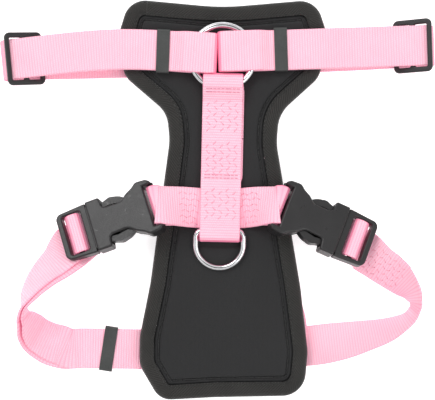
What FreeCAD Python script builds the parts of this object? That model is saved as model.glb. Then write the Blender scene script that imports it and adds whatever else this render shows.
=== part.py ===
import FreeCAD, Part
import math
import os

# No pull dog harness, laid flat: a padded back plate with its webbing, rings, buckles and sliders.
# Frame, in millimetres: +Z up from the surface the harness lies on, +Y towards the neck loop,
# +X towards the right-hand buckle. The origin is under the middle of the whole harness.

V = FreeCAD.Vector
ROT = FreeCAD.Rotation
UP = V(0, 0, 1)

SIZES = {
    "webbing_width": 25.0, "webbing_thickness": 1.6,
    "pad_bottom": 3.6, "pad_thickness": 6.0, "skin_thickness": 0.8,
    "binding_width": 9.2, "binding_wall": 1.0, "binding_proud": 0.2, "binding_flange": 0.8,
    "ring_outer_radius": 21.5, "ring_wire": 3.75, "ring_height": 14.7,
    "dee_wire": 3.6, "dee_width": 33.2, "dee_length": 26.5, "dee_height": 14.0, "dee_corner": 4.2,
    "dee_gap": 0.9,
    "slider_length": 25.0, "slider_width": 33.0, "slider_thickness": 2.6, "slider_bar": 3.0,
    "slider_window": 26.4, "keeper_width": 8.0, "keeper_wall": 0.7,
    "buckle_thickness": 10.6, "frame_thickness": 7.0, "prong_thickness": 6.2,
    "throat_height": 7.2, "throat_half": 14.2, "bar_radius": 1.6,
    "running_gap": 0.3,
}

doc = FreeCAD.newDocument("Harness")
sheet = doc.addObject("Spreadsheet::Sheet", "Sizes")
for row, (alias, value) in enumerate(SIZES.items(), start=1):
    sheet.set("A%d" % row, alias.replace("_", " "))
    sheet.set("B%d" % row, str(value))
    sheet.setAlias("B%d" % row, alias)
doc.recompute()


def size(alias):
    return float(sheet.get(alias))


WIDTH = size("webbing_width")
THICK = size("webbing_thickness")
GAP = size("running_gap")
PAD_TOP = size("pad_bottom") + size("pad_thickness")
PAD_MIDDLE = size("pad_bottom") + size("pad_thickness") / 2
FLOOR_LAYER = THICK / 2                 # centre height of a strap that lies on the surface


# ---------------------------------------------------------------- outlines

def turn_angle(before, corner, after):
    a = math.atan2(corner.y - before.y, corner.x - before.x)
    b = math.atan2(after.y - corner.y, after.x - corner.x)
    return (b - a + math.pi) % (2 * math.pi) - math.pi


def fitting_round(before, corner, after, radius, turn):
    """The radius asked for, or the largest that both sides of the corner have room for."""
    room = 0.49 * min((before - corner).Length, (after - corner).Length)
    slack = math.tan(abs(turn) / 2)
    return min(radius, room / slack) if slack > 1e-6 else radius


def rounded(points):
    """Closed outline through (x, y, radius) corners, as line and arc geometry."""
    corners = [V(x, y, 0) for x, y, r in points]
    count = len(points)
    starts, ends, arcs = [], [], []
    for i, (x, y, radius) in enumerate(points):
        here, before, after = corners[i], corners[i - 1], corners[(i + 1) % count]
        turn = turn_angle(before, here, after)
        radius = fitting_round(before, here, after, radius, turn)
        trim = radius * math.tan(abs(turn) / 2)
        back = (before - here).normalize()
        onward = (after - here).normalize()
        starts.append(here + back * trim)
        ends.append(here + onward * trim)
        if radius > 0 and abs(turn) > 1e-3:
            inward = (back + onward).normalize()
            middle = here + inward * (radius / math.cos(turn / 2) - radius)
            arcs.append(Part.Arc(starts[i], middle, ends[i]))
        else:
            arcs.append(None)
    geometry = []
    for i in range(count):
        if arcs[i]:
            geometry.append(arcs[i])
        if (starts[(i + 1) % count] - ends[i]).Length > 1e-6:
            geometry.append(Part.LineSegment(ends[i], starts[(i + 1) % count]))
    return geometry


def offset(points, distance, closed=True):
    """Move every side of a path to its left by distance, keeping the rounds concentric."""
    corners = [V(x, y, 0) for x, y, r in points]
    count = len(points)
    moved = []
    for i, (x, y, radius) in enumerate(points):
        first, last = (not closed and i == 0), (not closed and i == count - 1)
        before = corners[i - 1] if not first else corners[i] * 2 - corners[i + 1]
        after = corners[(i + 1) % count] if not last else corners[i] * 2 - corners[i - 1]
        turn = turn_angle(before, corners[i], after)
        into = (corners[i] - before).normalize()
        left = V(-into.y, into.x, 0)
        place = corners[i] + left * distance - into * (distance * math.tan(turn / 2))
        new_radius = radius - distance * (1 if turn > 0 else -1) if radius > 0 else 0
        moved.append((place.x, place.y, max(new_radius, 0)))
    return moved


def rectangle(x0, y0, x1, y1, radius=0.0):
    return [(x0, y0, radius), (x1, y0, radius), (x1, y1, radius), (x0, y1, radius)]


def slot(x0, x1, y, half):
    """Round-ended slot along x; the tiny flat keeps its two end arcs apart."""
    radius = half - 0.01
    return rectangle(x0, y - half, x1, y + half, radius)


# ---------------------------------------------------------------- bodies

def new_body(label, placement=FreeCAD.Placement()):
    body = doc.addObject("PartDesign::Body", label)
    body.Label = label
    body.Placement = placement
    return body


def sketch_on(body, plane, outlines, height=0.0):
    """Sketch closed outlines on one of the body's own planes, raised along its normal."""
    sketch = body.newObject("Sketcher::SketchObject", body.Label + "_sketch")
    origin = [f for f in body.Origin.OriginFeatures if f.Role == plane][0]
    sketch.AttachmentSupport = [(origin, "")]
    sketch.MapMode = "FlatFace"
    sketch.AttachmentOffset = FreeCAD.Placement(V(0, 0, height), ROT())
    for outline in outlines:
        sketch.addGeometry(rounded(outline) if isinstance(outline, list) else [outline])
    return sketch


def extrude(body, kind, plane, outlines, length, height=0.0):
    """Pad or pocket a sketch equally to both sides; length is an expression on the sheet."""
    feature = body.newObject("PartDesign::" + kind, body.Label + "_" + kind.lower())
    feature.Profile = sketch_on(body, plane, outlines, height)
    feature.SideType = "Symmetric"
    feature.setExpression("Length", length)
    return feature


def soften(body, kind, reach, keep):
    """Fillet or chamfer the edges that keep() picks on the body's present shape."""
    doc.recompute()
    tip = body.Tip
    names = ["Edge%d" % (i + 1) for i, e in enumerate(tip.Shape.Edges) if keep(e)]
    feature = body.newObject("PartDesign::" + kind, body.Label + "_" + kind.lower())
    feature.Base = (tip, names)
    setattr(feature, "Radius" if kind == "Fillet" else "Size", reach)
    return feature


# ---------------------------------------------------------------- back plate

# Corners of the plate's edge, clockwise from the top left: x, y and the corner's round.
PLATE = [
    (3.0, 120.4, 150), (61.5, 125.4, 14), (68.5, 104.0, 22), (64.0, 77.0, 16), (38.5, 54.0, 22),
    (37.0, 35.0, 40), (52.0, -55.0, 60), (56.5, -95.0, 30), (54.0, -122.3, 19), (-2.4, -123.4, 0),
    (-36.0, -125.2, 12), (-49.0, -103.0, 18), (-48.6, -85.0, 30), (-42.0, -52.0, 60),
    (-30.0, 37.0, 40), (-31.6, 54.5, 18), (-58.4, 77.5, 14), (-61.8, 104.0, 22), (-55.0, 125.8, 14),
]


PLATE = PLATE[::-1]                     # counter-clockwise, so a positive offset goes inwards
PLATE_LIP = size("binding_width") + 0.1


def make_plate():
    skin = size("skin_thickness")
    flange_room = size("binding_flange") - size("binding_proud")
    core = new_body("pad_foam_core", FreeCAD.Placement(V(0, 0, PAD_MIDDLE), ROT()))
    extrude(core, "Pad", "XY_Plane", [offset(PLATE, size("binding_wall"))],
            "Sizes.pad_thickness - 2 * Sizes.skin_thickness")
    cover = new_body("pad_front_cover", FreeCAD.Placement(V(0, 0, PAD_TOP - skin / 2), ROT()))
    lining_middle = size("pad_bottom") + skin / 2
    lining = new_body("pad_back_lining", FreeCAD.Placement(V(0, 0, lining_middle), ROT()))
    for body in (cover, lining):
        extrude(body, "Pad", "XY_Plane", [offset(PLATE, PLATE_LIP)], "Sizes.skin_thickness")
    binding = new_body("edge_binding", FreeCAD.Placement(V(0, 0, PAD_MIDDLE), ROT()))
    extrude(binding, "Pad", "XY_Plane", [PLATE, offset(PLATE, size("binding_width"))],
            "Sizes.pad_thickness + 2 * Sizes.binding_proud")
    extrude(binding, "Pocket", "XY_Plane", [offset(PLATE, size("binding_wall")),
                                            offset(PLATE, PLATE_LIP + 1)],
            "Sizes.pad_thickness + 2 * Sizes.binding_proud - 2 * Sizes.binding_flange")
    return [core, cover, lining, binding]


# ---------------------------------------------------------------- rings and the spine strap

SPINE_LEAN = -1.28                      # degrees: the spine strap leans to the right going up
SPINE_FOOT = V(1.4, -19.4, 0)           # where the leash ring's bar crosses the strap
SPINE = FreeCAD.Placement(SPINE_FOOT, ROT(UP, SPINE_LEAN))
RING_CENTRE = V(3.1, 88.8, size("ring_height"))


def make_spine_strap():
    """Webbing folded round both rings; along its length its two layers are sewn together."""
    base = PAD_TOP + 0.05
    loop_low, loop_high = base + THICK, size("ring_height") + size("ring_wire") / 2 + 0.2
    dee = size("dee_height")
    dee_hole = size("dee_wire") / 2 + size("dee_gap")
    cross_top = base + 2 * THICK + 0.1
    slab = 2 * THICK
    outer = [
        (-6.6, dee - dee_hole - THICK, 3.6), (0.2, dee - dee_hole - THICK, 1.0),
        (1.6, cross_top - THICK, 0.5), (27.5, cross_top - THICK, 3), (34.0, base, 3),
        (98.0, base, 4.0), (98.0, loop_high + THICK, 4.0), (88.5, loop_high + THICK, 5),
        (79.0, base + slab, 5), (37.0, base + slab, 3), (29.0, cross_top - THICK + slab, 3),
        (7.0, cross_top - THICK + slab, 3), (2.0, dee + dee_hole + THICK, 3),
        (-6.6, dee + dee_hole + THICK, 3.6),
    ]
    body = new_body("spine_strap", SPINE)
    ring_hole = rectangle(86.4, loop_low, 96.4, loop_high, 2.2)
    dee_slot = slot(-5.0, 3.0, dee, dee_hole)
    extrude(body, "Pad", "YZ_Plane", [outer, ring_hole, dee_slot], "Sizes.webbing_width")
    return body


def make_front_ring():
    ring = doc.addObject("Part::Torus", "front_o_ring")
    ring.Label = "front_o_ring"
    ring.setExpression("Radius2", "Sizes.ring_wire / 2")
    ring.setExpression("Radius1", "Sizes.ring_outer_radius - Sizes.ring_wire / 2")
    ring.Placement = FreeCAD.Placement(RING_CENTRE, ROT())
    return ring


def make_leash_ring():
    """A D: a straight bar in the spine strap's lower loop and a bow that lies on the plate."""
    half = size("dee_width") / 2 - size("dee_wire") / 2
    reach = size("dee_length") - size("dee_wire")
    corner = size("dee_corner")
    chamfer = half * math.tan(math.radians(22.5))       # the bow is a half circle on 45 degree turns
    shoulder = half - reach - chamfer
    path = rounded([(-half, 0, corner), (half, 0, corner), (half, shoulder, half),
                    (chamfer, -reach, half), (-chamfer, -reach, half), (-half, shoulder, half)])
    wire = Part.Wire([g.toShape() for g in path])
    start = wire.Edges[0].firstVertex().Point
    tangent = wire.Edges[0].tangentAt(wire.Edges[0].FirstParameter)
    section = Part.Wire([Part.makeCircle(size("dee_wire") / 2, start, tangent)])
    tilt = math.degrees(math.asin((size("dee_height") - PAD_TOP - size("dee_wire") / 2 - 0.1) / reach))
    ring = doc.addObject("Part::Feature", "leash_d_ring")
    ring.Label = "leash_d_ring"
    ring.Shape = wire.makePipeShell([section], True, True)
    place = FreeCAD.Placement(V(0, 0, size("dee_height")), ROT(V(1, 0, 0), tilt))
    ring.Placement = SPINE.multiply(place)
    return ring


# ---------------------------------------------------------------- buckles

# A side-release buckle in its own frame: x runs from the mouth towards the webbing bar of the
# female half, y across it, z through its thickness. The male half reaches to negative x.
FEMALE_SIDE = [
    (0.0, 16.3, 1.0), (9.4, 16.3, 1.4), (10.2, 9.2, 2.2), (22.0, 8.8, 4.5), (26.6, 12.6, 3),
    (31.0, 14.8, 4), (34.0, 17.4, 4), (41.0, 16.8, 4), (44.4, 13.6, 1.5), (37.9, 13.1, 0),
]
MALE_LENGTH = 20.6
MALE_HALF = 16.2
BAR_PLACE = 42.2                        # the webbing bar of the female half
ADJUSTER_BAR = -10.6                    # the webbing bar of the male half
PRONG_PIVOT = V(3.6, 10.6, 0)

# Where each buckle lies: its mouth's centre and its turn about Z, nose-up pitch and roll.
BUCKLES = {
    "left": (V(-76.9, -17.6, 15.2), 20.0, 6.0, -17.0),
    "right": (V(75.8, -20.3, 15.2), 156.0, 6.0, 17.0),
}


def buckle_place(side):
    mouth, turn, pitch, roll = BUCKLES[side]
    attitude = ROT(UP, turn).multiply(ROT(V(0, 1, 0), -pitch)).multiply(ROT(V(1, 0, 0), roll))
    return FreeCAD.Placement(mouth, attitude)


def both_sides(half):
    """Close a half outline, given for y > 0 with rising x, by its mirror image."""
    mirrored = [(x, -y, r) for x, y, r in half]
    return mirrored + half[::-1]


def make_female(side):
    body = new_body(side + "_buckle_female", buckle_place(side))
    extrude(body, "Pad", "XY_Plane", [both_sides(FEMALE_SIDE)], "Sizes.buckle_thickness")
    faces = size("buckle_thickness") / 2
    soften(body, "Fillet", 1.3, lambda e: abs(abs(e.BoundBox.ZMin) - faces) < 1e-3
           and e.BoundBox.ZLength < 1e-3)
    half = size("throat_half")
    throat = both_sides([(-1.0, half, 0), (23.0, half, 2), (25.5, 12.2, 2), (29.0, 11.0, 2)])
    extrude(body, "Pocket", "XY_Plane", [throat], "Sizes.throat_height")
    bar = Part.Circle(V(BAR_PLACE, 0, 0), UP, size("bar_radius"))
    extrude(body, "Pad", "XZ_Plane", [bar], "2 * Sizes.throat_half + 1")
    return body


def make_male(side):
    body = new_body(side + "_buckle_male", buckle_place(side))
    inner = -GAP
    frame = [(-MALE_LENGTH, -15.0, 4.0), (inner, -MALE_HALF, 1.0), (inner, MALE_HALF, 1.0),
             (-MALE_LENGTH, 15.0, 4.0)]
    window = rectangle(-MALE_LENGTH + 3.6, -12.9, -4.6, 12.9, 1.5)
    extrude(body, "Pad", "XY_Plane", [frame, window], "Sizes.frame_thickness")
    faces = size("frame_thickness") / 2
    soften(body, "Fillet", 0.9, lambda e: abs(abs(e.BoundBox.ZMin) - faces) < 1e-3
           and e.BoundBox.ZLength < 1e-3)
    bar = Part.Circle(V(ADJUSTER_BAR, 0, 0), UP, size("bar_radius"))
    extrude(body, "Pad", "XZ_Plane", [bar], "2 * Sizes.throat_half - 1")
    plug = [(inner - 1, -13.6, 0), (6.2, -13.6, 1), (6.2, -8.4, 0), (8.6, -2.6, 1),
            (24.0, -2.4, 1), (24.0, 2.4, 1), (8.6, 2.6, 1), (6.2, 8.4, 0), (6.2, 13.6, 1),
            (inner - 1, 13.6, 0)]
    extrude(body, "Pad", "XY_Plane", [plug], "Sizes.throat_height - 2 * Sizes.running_gap")
    socket = []
    for mirror in (1, -1):
        socket.append([(0.6, mirror * 8.0, 0), (7.2, mirror * 8.0, 0), (7.2, mirror * 14.8, 0),
                       (0.6, mirror * 14.8, 0)][::mirror])
    extrude(body, "Pocket", "XY_Plane", socket, "Sizes.throat_height")
    return body


def make_prong(side, level, mirror):
    """A springy arm with a round root; its swell stands in the window of the female half."""
    arm = [(1.2, 8.9, 1.6), (1.2, 12.7, 1.6), (10.6, 12.9, 3), (15.6, 14.7, 4), (21.5, 13.2, 9),
           (27.4, 9.4, 0.8), (25.8, 8.2, 0.8), (14.5, 10.2, 4), (7.0, 8.9, 2)]
    outline = [(x, mirror * y, r) for x, y, r in arm][::-mirror]
    body = new_body("%s_buckle_%s_prong" % (side, level), buckle_place(side))
    extrude(body, "Pad", "XY_Plane", [outline], "Sizes.prong_thickness")
    return body


# ---------------------------------------------------------------- webbing

def path_points(path, steps=5):
    """Points and left-hand normals along an open path of (u, v, radius) corners."""
    found = []
    for i, (u, v, radius) in enumerate(path):
        here = V(u, v, 0)
        ends = (i == 0, i == len(path) - 1)
        before = V(*path[i - 1][:2], 0) if not ends[0] else here * 2 - V(*path[1][:2], 0)
        after = V(*path[i + 1][:2], 0) if not ends[1] else here * 2 - V(*path[-2][:2], 0)
        turn = turn_angle(before, here, after)
        heading = math.atan2(here.y - before.y, here.x - before.x)
        if radius <= 0 or any(ends) or abs(turn) < 1e-3:
            middle = heading + turn / 2
            found.append((here, V(-math.sin(middle), math.cos(middle), 0)))
            continue
        trim = radius * math.tan(abs(turn) / 2)
        sign = 1 if turn > 0 else -1
        start = here - (here - before).normalize() * trim
        centre = start + V(-math.sin(heading), math.cos(heading), 0) * (radius * sign)
        count = max(2, int(abs(turn) / math.radians(90) * steps) + 1)
        for k in range(count + 1):
            angle = heading + turn * k / count
            left = V(-math.sin(angle), math.cos(angle), 0)
            found.append((centre - left * (radius * sign), left))
    return found


def along(plan, distance):
    """Place and heading on a plan polyline at a distance from its first point."""
    for i in range(len(plan) - 1):
        start, end = V(*plan[i], 0), V(*plan[i + 1], 0)
        length = (end - start).Length
        if distance <= length or i == len(plan) - 2:
            heading = (end - start).normalize()
            return start + heading * distance, heading
        distance -= length


def section(centre, across, normal):
    """The four corners of the webbing's cut face at one station."""
    a, n = across.normalize() * (WIDTH / 2), normal.normalize() * (THICK / 2)
    return [centre + a + n, centre - a + n, centre - a - n, centre + a - n]


def webbing(label, stations):
    """A ribbon of webbing faceted from each (centre, across, normal) station to the next."""
    cuts = [section(*s) for s in stations]
    facets = [cuts[0], cuts[-1]]
    for here, onward in zip(cuts, cuts[1:]):
        for k in (0, 1, 3):
            after = (k + 1) % 4
            facets.append([here[k], here[after], onward[k]])
            facets.append([here[after], onward[after], onward[k]])
        # The lower face is split along the upper face's diagonal, so a twist keeps its thickness.
        facets.append([here[2], here[3], onward[3]])
        facets.append([here[2], onward[3], onward[2]])
    shell = Part.makeShell([Part.Face(Part.makePolygon(f + f[:1])) for f in facets])
    shell.sewShape()
    solid = Part.makeSolid(shell)
    if solid.Volume < 0:
        solid.reverse()
    strap = doc.addObject("Part::Feature", label)
    strap.Label = label
    strap.Shape = solid
    return strap


def with_plan_corners(plan, points):
    """Add a point wherever a straight stretch of the profile passes a corner of the plan."""
    corners, reached = [], 0
    for start, end in zip(plan, plan[1:-1]):
        reached += (V(*end, 0) - V(*start, 0)).Length
        corners.append(reached)
    found = [points[0]]
    for (a, left_a), (b, left_b) in zip(points, points[1:]):
        for corner in corners:
            if (a.x - corner) * (b.x - corner) < 0:
                found.append((a + (b - a) * ((corner - a.x) / (b.x - a.x)), left_a + left_b))
        found.append((b, left_b))
    return found


def hung(plan, profile):
    """Stations of a strap that follows a plan line, with its heights from a side profile."""
    stations = []
    for point, normal in with_plan_corners(plan, path_points(profile)):
        place, heading = along(plan, point.x)
        across = V(-heading.y, heading.x, 0)
        stations.append((V(place.x, place.y, point.y), across,
                         heading * normal.x + UP * normal.y))
    return stations


# Neck loop. Each side is doubled between the front ring and its slider: the under layer
# lies on the plate and the upper one passes over the ring and on to the slider.
UNDER_LAYER = 11.65
KEEPER_LAYER = UNDER_LAYER + THICK + 0.2        # the upper layer, held down by the keeper
OVER_RING = size("ring_height") + size("ring_wire") / 2 + 0.25 + THICK / 2

NECK = {
    # plan from the ring outwards, distance to the slider crossing, its height, slider tilt
    "left": ([(-2.2, 91.2), (-64.0, 93.4), (-134.9, 86.7)], 122.9, 12.8, 32.0),
    "right": ([(0.3, 92.2), (135.5, 96.4)], 126.3, 12.3, 28.0),
}
RING_EDGE = {"left": 18.0, "right": 25.6}       # where the upper layer leaves the ring
KEEPER_AT = {"left": 31.6, "right": 39.0}
DOUBLED = 84.0                          # the under layer ends here, sewn to the upper one


def neck_profile(side):
    plan, crossing, height, tilt = NECK[side]
    length = sum((V(*b, 0) - V(*a, 0)).Length for a, b in zip(plan, plan[1:]))
    settled = RING_EDGE[side] + 6.5
    slope = (height - KEEPER_LAYER) / (crossing - settled)
    fold = (height - FLOOR_LAYER) / 2 - 0.02
    end = length - THICK / 2
    turned = height + slope * (end - crossing)
    loop = (OVER_RING - UNDER_LAYER) / 2 - 0.02
    return [
        (DOUBLED, UNDER_LAYER + slope * (DOUBLED - settled), 0), (settled, UNDER_LAYER, 40),
        (THICK / 2, UNDER_LAYER, loop), (THICK / 2, OVER_RING, loop), (RING_EDGE[side], OVER_RING, 4),
        (settled, KEEPER_LAYER, 6), (end, turned, fold), (end, FLOOR_LAYER, fold),
        (end - 14, FLOOR_LAYER, 0),
    ], slope, settled


def make_neck_straps():
    straps = []
    for side in ("left", "right"):
        profile, slope, settled = neck_profile(side)
        straps.append(webbing("neck_strap_" + side, hung(NECK[side][0], profile)))
    left_plan, right_plan = NECK["left"][0], NECK["right"][0]
    ends = []
    for plan in (left_plan, right_plan):
        outer, inner = V(*plan[-1], 0), V(*plan[-2], 0)
        ends.append((outer - (outer - inner).normalize() * (14 + THICK / 2 + 0.2), inner - outer))
    stations = []
    for (place, heading), sense in zip(ends, (1, -1)):
        direction = heading.normalize() * sense
        stations.append((place + UP * FLOOR_LAYER, V(-direction.y, direction.x, 0), UP))
    straps.append(webbing("neck_strap_back", stations))
    return straps


def slider_place(side):
    """Attitude of a slider threaded on the upper layer, its outer bar above the strap."""
    plan, crossing, height, tilt = NECK[side]
    place, heading = along(plan, crossing)
    turn = math.degrees(math.atan2(heading.y, heading.x))
    attitude = ROT(UP, turn).multiply(ROT(V(0, 1, 0), -tilt))
    window = (size("slider_length") - 3 * size("slider_bar")) / 2
    centre = V(place.x, place.y, height) - attitude.multVec(V(1, 0, 0)) * (
        window / 2 + size("slider_bar") / 2)
    return FreeCAD.Placement(centre, attitude)


def make_slider(side):
    body = new_body(side + "_slider", slider_place(side))
    half, wide = size("slider_length") / 2, size("slider_width") / 2
    bar, window = size("slider_bar"), size("slider_window") / 2
    holes = [rectangle(bar / 2, -window, half - bar, window, 1.0),
             rectangle(bar - half, -window, -bar / 2, window, 1.0)]
    outline = rectangle(-half, -wide, half, wide, 3.5)
    extrude(body, "Pad", "XY_Plane", [outline] + holes, "Sizes.slider_thickness")
    faces = size("slider_thickness") / 2
    soften(body, "Fillet", 0.9, lambda e: abs(abs(e.BoundBox.ZMin) - faces) < 1e-3
           and e.BoundBox.ZLength < 1e-3)
    return body


def make_keeper(label, placement, layers, room=GAP):
    """A flat sleeve round webbing whose layers stand this high, sliding along them."""
    body = new_body(label, placement)
    inner_half, inner_height = WIDTH / 2 + room, layers / 2 + 0.2
    wall = size("keeper_wall")
    outer = rectangle(-inner_half - wall, -inner_height - wall, inner_half + wall,
                      inner_height + wall, 1.0)
    hole = rectangle(-inner_half, -inner_height, inner_half, inner_height, 0.3)
    extrude(body, "Pad", "YZ_Plane", [outer, hole], "Sizes.keeper_width")
    return body


def make_neck_keepers():
    keepers = []
    for side in ("left", "right"):
        plan = NECK[side][0]
        profile, slope, settled = neck_profile(side)
        place, heading = along(plan, KEEPER_AT[side])
        turn = math.degrees(math.atan2(heading.y, heading.x))
        attitude = ROT(UP, turn).multiply(ROT(V(0, 1, 0), -math.degrees(math.atan(slope))))
        middle = (UNDER_LAYER + KEEPER_LAYER) / 2 + slope * (KEEPER_AT[side] - settled)
        keepers.append(make_keeper(side + "_neck_keeper",
                                   FreeCAD.Placement(V(place.x, place.y, middle), attitude),
                                   KEEPER_LAYER - UNDER_LAYER + THICK))
    return keepers


# Girth strap. From each adjuster it turns up on its edge round the far bend and lies flat
# again along the bottom run: x, y, the bank of its width from flat, and its lift.
LEFT_GIRTH = [
    (-95.0, -36.9, 24, 4.6), (-104.4, -45.5, 38, 4.4), (-111.6, -52.7, 52, 3.4),
    (-116.6, -58.8, 66, 2.8), (-119.8, -65.0, 80, 2.6), (-120.7, -68.6, 87, 2.6),
    (-120.8, -70.6, 91, 2.6), (-120.1, -73.9, 100, 2.2), (-117.4, -79.8, 118, 1.6),
    (-111.1, -85.9, 136, 1.2), (-104.7, -90.0, 148, 1.0), (-97.5, -92.3, 160, 1.0),
    (-85.8, -93.3, 180, 1.0), (-52.0, -93.9, 180, 1.0), (-46.0, -94.0, 180, 0),
]
RIGHT_GIRTH = [
    (98.3, -38.0, 24, 3.6), (107.2, -43.8, 32, 4.0),
    (114.2, -49.4, 44, 3.4), (119.7, -54.1, 58, 2.8), (123.2, -59.9, 74, 2.6),
    (124.6, -65.4, 86, 2.6), (124.8, -67.4, 90, 2.6), (122.8, -72.1, 104, 2.0),
    (118.4, -77.4, 120, 1.0),
    (110.8, -82.5, 136, 0), (100.1, -85.9, 150, 0), (86.4, -88.4, 164, 0),
    (71.4, -90.8, 180, 0), (55.0, -92.7, 180, 0),
]
GIRTH_SPLIT = 6                         # station at which the end and the root strap meet


# The strap rounds the adjuster's bar: position along the buckle, height in it, round.
ADJUSTER_ROUTE = [(-5.9, -4.4, 0), (-6.9, 2.75, 1.6), (-14.3, 2.75, 1.6), (-15.2, -6.4, 0)]


def adjuster_stations(side, inner_side):
    place = buckle_place(side)
    across = place.Rotation.multVec(V(0, -inner_side, 0))
    stations = []
    for point, left in path_points(ADJUSTER_ROUTE, 3):
        stations.append((place.multVec(V(point.x, 0, point.y)), across,
                         place.Rotation.multVec(V(-left.x, 0, -left.y))))
    return stations


def girth_stations(route, inner_side):
    stations = []
    for i, (x, y, bank, lift) in enumerate(route):
        before, after = route[max(i - 1, 0)], route[min(i + 1, len(route) - 1)]
        heading = V(after[0] - before[0], after[1] - before[1], 0).normalize()
        inward = V(-heading.y, heading.x, 0) * inner_side
        angle = math.radians(bank)
        across = inward * math.cos(angle) + UP * math.sin(angle)
        centre = V(x, y, FLOOR_LAYER + WIDTH / 2 * math.sin(angle) + lift)
        stations.append((centre, across, heading.cross(across) * inner_side))
    return stations


def make_girth_straps():
    left = girth_stations(LEFT_GIRTH, 1)
    right = girth_stations(RIGHT_GIRTH, -1)
    ends = []
    for side, stations, inner_side in (("left", left, 1), ("right", right, -1)):
        threaded = adjuster_stations(side, inner_side) + stations[:GIRTH_SPLIT]
        ends.append(webbing(side + "_girth_strap_end", threaded))
    return ends + [webbing("girth_strap", left[GIRTH_SPLIT:] + right[GIRTH_SPLIT:][::-1])]


def make_girth_keeper():
    """The girth strap's keeper sits a little askew on the strap, so it is made wider."""
    lean, room = -8.6, 0.9
    place = FreeCAD.Placement(V(-68.5, -93.6, FLOOR_LAYER + 1.0), ROT(UP, lean))
    return make_keeper("girth_keeper", place, THICK, room)


def make_chest_strap():
    """Hidden strap under the plate that joins the neck strap to the girth strap."""
    plan = [(1.6, 98.0), (43.0, -99.0)]
    lap = THICK * 1.5 + 0.1
    end = (V(*plan[1], 0) - V(*plan[0], 0)).Length
    profile = [(0, lap, 0), (26, lap, 20), (42, FLOOR_LAYER, 20), (end - 42, FLOOR_LAYER, 20),
               (end - 26, lap, 20), (end, lap, 0)]
    return webbing("chest_strap", hung(plan, profile))


def bar_loop(side, back_length):
    """Stations round a female half's webbing bar, from below it to above it."""
    place = buckle_place(side)
    radius = size("bar_radius") + GAP + THICK / 2
    across = place.Rotation.multVec(V(0, 1, 0))
    stations = []
    steps = 8
    for x, z, nx, nz in ([(BAR_PLACE + back_length, -radius, 0, -1)] +
                         [(BAR_PLACE - radius * math.sin(a), -radius * math.cos(a),
                           -math.sin(a), -math.cos(a))
                          for a in (math.pi * k / steps for k in range(steps + 1))]):
        stations.append((place.multVec(V(x, 0, z)), across,
                         place.Rotation.multVec(V(nx, 0, nz))))
    stations.append((place.multVec(V(BAR_PLACE + 5, 0, radius - 1)), across,
                     place.Rotation.multVec(V(0, 0, 1))))
    return stations


def make_cross_strap():
    """Strap under the spine strap, folded round the webbing bars of both female halves."""
    left = bar_loop("left", 5.0)
    right = [(c, a * -1, n) for c, a, n in bar_loop("right", 5.0)]
    level = PAD_TOP + 0.05 + THICK / 2
    middle = [(V(x, -5.0, level), V(0, 1, 0), UP) for x in (-14.0, 18.0)]
    return webbing("cross_strap", left + middle + right[::-1])


# ---------------------------------------------------------------- assembly

nodes = make_plate()
nodes += [make_spine_strap(), make_front_ring(), make_leash_ring(), make_cross_strap()]
for side in ("left", "right"):
    nodes += [make_female(side), make_male(side), make_slider(side)]
    nodes += [make_prong(side, "upper", 1), make_prong(side, "lower", -1)]
nodes += make_neck_straps() + make_neck_keepers()
nodes += make_girth_straps() + [make_chest_strap()]
nodes.append(make_girth_keeper())

doc.recompute()
for thing in doc.Objects:
    if "Invalid" in thing.State or "Error" in thing.State:
        raise RuntimeError("%s failed: %s" % (thing.Label, thing.State))
for node in nodes:
    if node.Shape.isNull() or not node.Shape.isValid():
        raise RuntimeError("%s has no valid shape" % node.Label)

os.makedirs("parts", exist_ok=True)
for node in nodes:
    node.Shape.exportStep("parts/%s.step" % node.Label)
    box = node.Shape.BoundBox
    print("%-26s %9.0f mm3  x %7.1f %7.1f  y %7.1f %7.1f  z %5.1f %5.1f" % (
        node.Label, node.Shape.Volume, box.XMin, box.XMax, box.YMin, box.YMax,
        box.ZMin, box.ZMax))
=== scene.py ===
import math
import random

import bpy
import numpy as np
from mathutils import Matrix, Vector


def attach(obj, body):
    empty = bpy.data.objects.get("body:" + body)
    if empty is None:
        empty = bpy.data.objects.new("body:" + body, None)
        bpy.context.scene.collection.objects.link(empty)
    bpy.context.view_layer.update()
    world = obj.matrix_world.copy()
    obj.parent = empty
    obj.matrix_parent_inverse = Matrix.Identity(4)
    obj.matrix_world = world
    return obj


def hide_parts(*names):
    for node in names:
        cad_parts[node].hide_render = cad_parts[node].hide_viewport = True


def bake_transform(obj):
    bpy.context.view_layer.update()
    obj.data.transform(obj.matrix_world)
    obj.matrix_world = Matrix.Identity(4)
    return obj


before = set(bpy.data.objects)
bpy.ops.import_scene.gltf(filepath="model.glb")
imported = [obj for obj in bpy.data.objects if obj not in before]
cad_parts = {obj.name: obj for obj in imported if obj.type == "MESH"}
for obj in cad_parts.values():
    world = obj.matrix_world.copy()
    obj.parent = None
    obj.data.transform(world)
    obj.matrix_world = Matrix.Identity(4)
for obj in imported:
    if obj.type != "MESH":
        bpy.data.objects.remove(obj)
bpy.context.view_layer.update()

# No pull dog harness, laid flat and seen from above. Lengths in this script are in millimetres
# and become metres where a mesh is made.

MM = 0.001
UP = Vector((0, 0, 1))
random.seed(7)

WIDTH, THICK = 25.0, 1.6                # webbing
RIB_PITCH, RIB_DEPTH = 1.62, 0.16
SELVEDGE = 1.2                          # the woven edge, where the ribs fade out
ROW_STEP = RIB_PITCH / 6                # between the rows of a webbing mesh


# ---------------------------------------------------------------- meshes

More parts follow.
